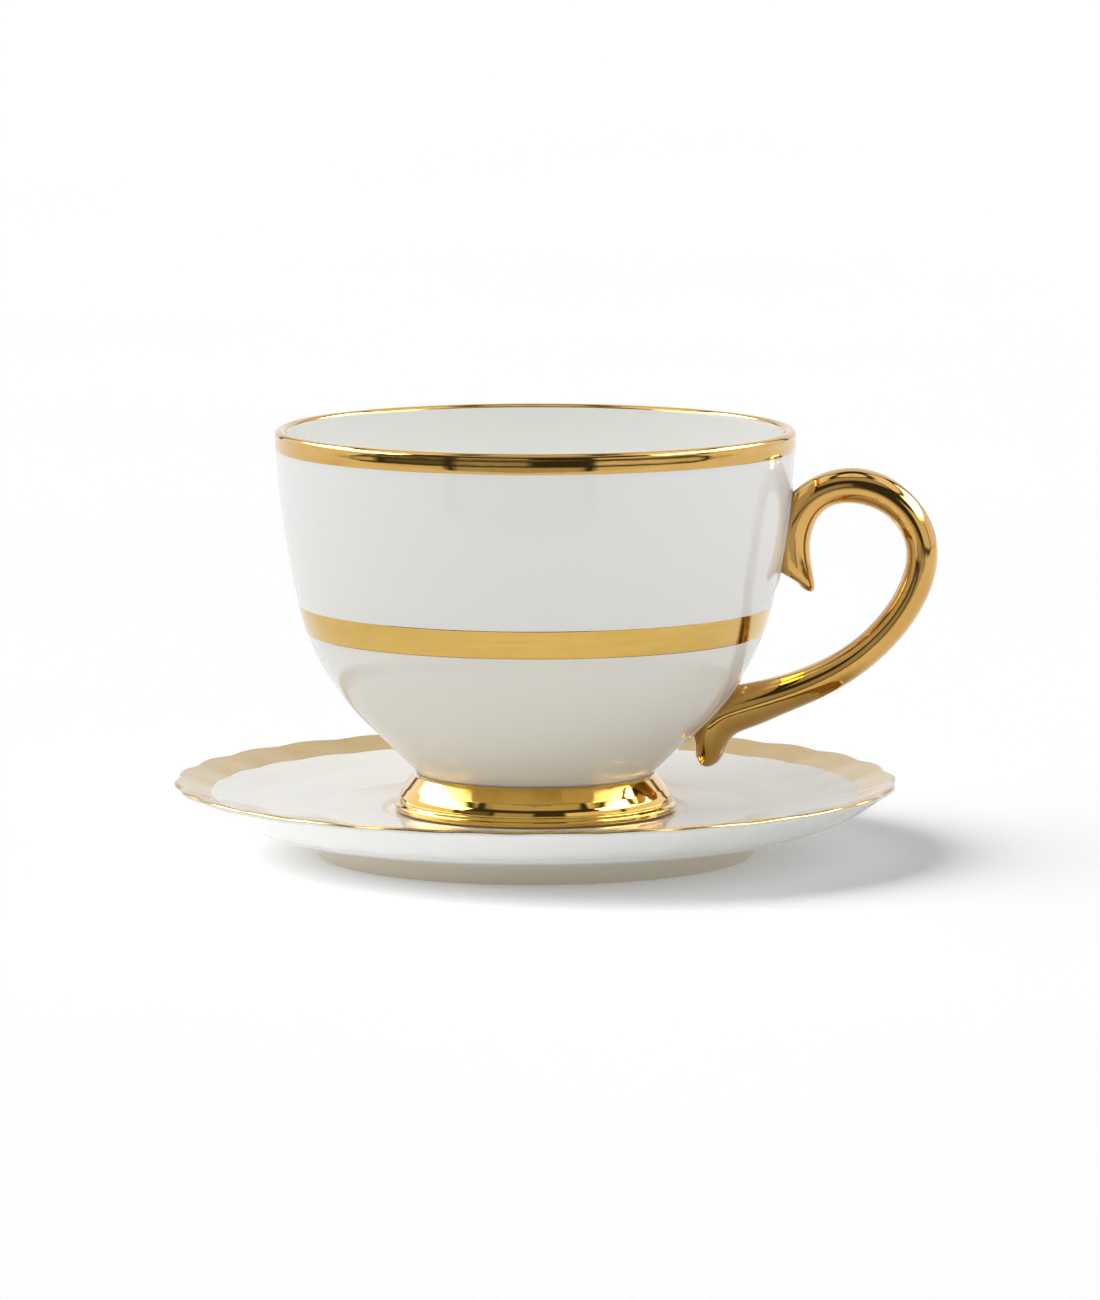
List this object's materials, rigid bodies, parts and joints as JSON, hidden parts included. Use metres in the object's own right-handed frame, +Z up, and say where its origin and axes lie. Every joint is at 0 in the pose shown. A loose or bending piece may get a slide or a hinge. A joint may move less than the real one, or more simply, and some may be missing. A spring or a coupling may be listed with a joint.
{
  "type": "teacup",
  "caption": "Round pedestal teacup with a scroll handle and gilded bands, standing on its scalloped, gold-edged saucer.",
  "frame": {"origin": "on the cup's axis, in the plane of the saucer's foot ring, where the saucer stands on the table", "axes": "+Z up along the cup's axis, +X from the axis towards the handle, +Y away from someone who has the handle at their right hand"},
  "size_m": [0.1467, 0.139, 0.0823],
  "materials": {
    "porcelain": "clear glaze, glossy",
    "slip": "fired slip under the glaze",
    "gold": "bright burnished gold"
  },
  "bodies": {
    "saucer": {"saucer_dish": "porcelain", "saucer_rim_gilding": "gold"},
    "cup": {"cup_bowl": "porcelain", "cup_foot": "porcelain", "foot_joint": "slip", "handle_core": "porcelain", "upper_handle_joint": "slip", "lower_handle_joint": "slip", "rim_gilding": "gold", "body_band_gilding": "gold", "foot_gilding": "gold", "handle_gilding": "gold"}
  },
  "joints": [
    {"name": "cup_lift", "type": "slide", "parent": "saucer", "child": "cup", "axis": [0, 0, 1], "range_m": [0, 0.12]}
  ]
}
